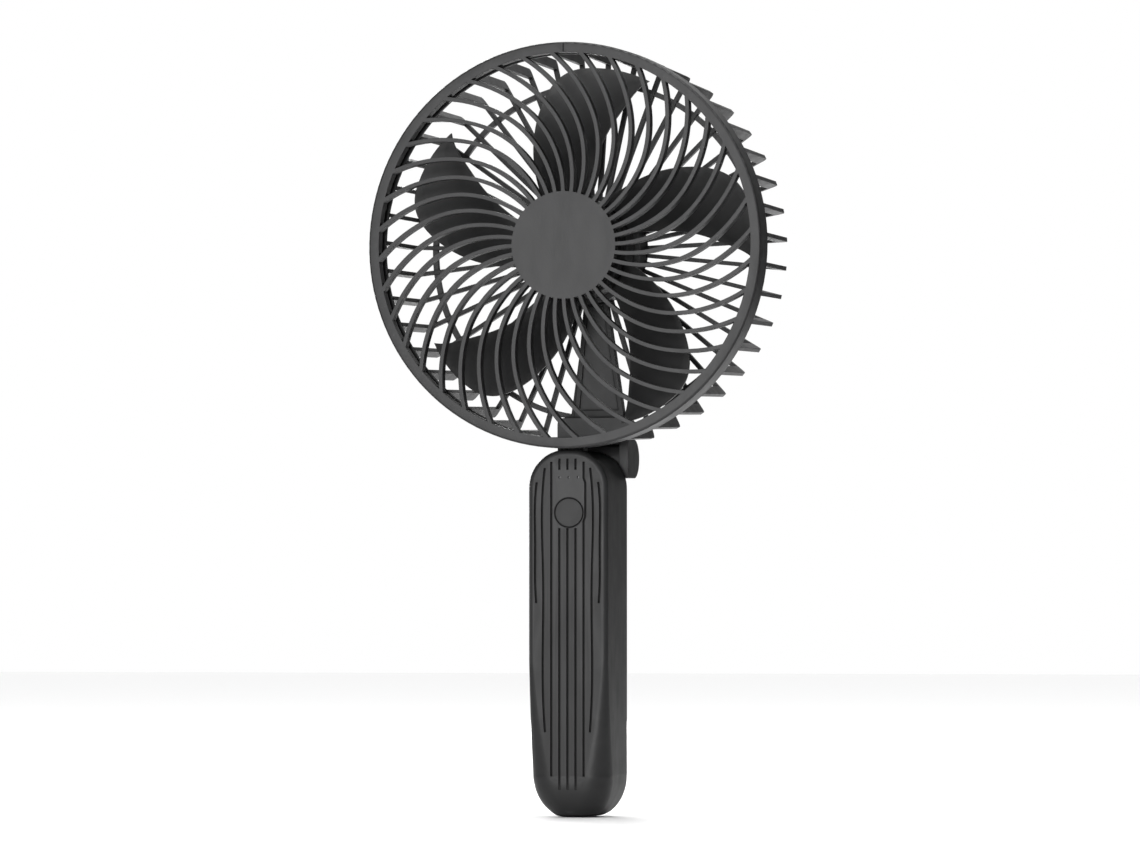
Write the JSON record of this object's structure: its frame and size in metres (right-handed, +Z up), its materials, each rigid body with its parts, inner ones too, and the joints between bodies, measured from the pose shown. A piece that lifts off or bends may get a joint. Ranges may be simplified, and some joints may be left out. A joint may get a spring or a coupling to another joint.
{
  "type": "folding handheld fan",
  "caption": "Folding battery fan for hand or desk: a round caged head with swept front ribs, hinged to a grooved upright handle with a round push button.",
  "frame": {"origin": "middle of the handle's flat foot", "axes": "+Z up along the handle, -Y the way the fan blows, +X to the right as seen from the back"},
  "size_m": [0.1554, 0.0519, 0.2963],
  "materials": {
    "shell_plastic": "fine spark texture, near black",
    "blade_plastic": "satin, near black",
    "key_plastic": "fine satin, near black",
    "clear_plastic": "clear moulded",
    "screw_steel": "dark zinc plated",
    "pin_steel": "ground",
    "motor_steel": "drawn, plated",
    "core_iron": "laminated and lacquered",
    "magnet": "sintered",
    "bush_brass": "oiled",
    "white_nylon": "moulded",
    "soft_rubber": "matt",
    "board_laminate": "solder mask",
    "chip_plastic": "moulded",
    "plunger_plastic": "moulded",
    "lamp_resin": "clear",
    "cell_wrap": "printed wrap over a metal can",
    "saddle_plastic": "moulded",
    "nickel": "rolled nickel strip",
    "lead_jacket": "smooth jacket"
  },
  "bodies": {
    "handle": {"handle_body": "shell_plastic", "rear_cover": "shell_plastic", "cover_screws": "screw_steel", "switch_body": "chip_plastic", "control_board": "board_laminate", "board_chips": "chip_plastic", "board_screws": "screw_steel", "indicator_lamps": "lamp_resin", "light_guide": "clear_plastic", "battery_cell": "cell_wrap", "battery_saddles": "saddle_plastic", "battery_tabs": "nickel", "battery_leads": "lead_jacket", "charge_board": "board_laminate", "charge_socket": "nickel", "hinge_washers": "white_nylon", "hinge_pin": "pin_steel", "hinge_caps": "shell_plastic", "cap_screws": "screw_steel"},
    "button": {"power_button": "key_plastic", "switch_plunger": "plunger_plastic"},
    "head": {"front_grille": "shell_plastic", "cage_hoop": "shell_plastic", "side_fins": "shell_plastic", "cage_back": "shell_plastic", "arm_cover": "shell_plastic", "rear_hub_cap": "shell_plastic", "motor_leads": "lead_jacket", "motor_case": "motor_steel", "motor_end_cap": "white_nylon", "motor_magnets": "magnet", "shaft_bushes": "bush_brass", "motor_screws": "screw_steel", "motor_damper": "soft_rubber"},
    "rotor": {"impeller": "blade_plastic", "impeller_cap": "blade_plastic", "motor_shaft": "pin_steel", "armature": "core_iron"}
  },
  "joints": [
    {"name": "head_tilt", "type": "hinge", "parent": "handle", "child": "head", "pos_m": [0, 0.02185, 0.1376], "axis": [-1, 0, 0], "range_deg": [0, 180]},
    {"name": "blade_spin", "type": "hinge", "parent": "head", "child": "rotor", "pos_m": [0, 0.0054, 0.2186], "axis": [0, -1, 0], "continuous": true},
    {"name": "button_press", "type": "slide", "parent": "handle", "child": "button", "axis": [0, 1, 0], "range_m": [0, 0.0006], "stiffness_N_per_m": 800}
  ]
}
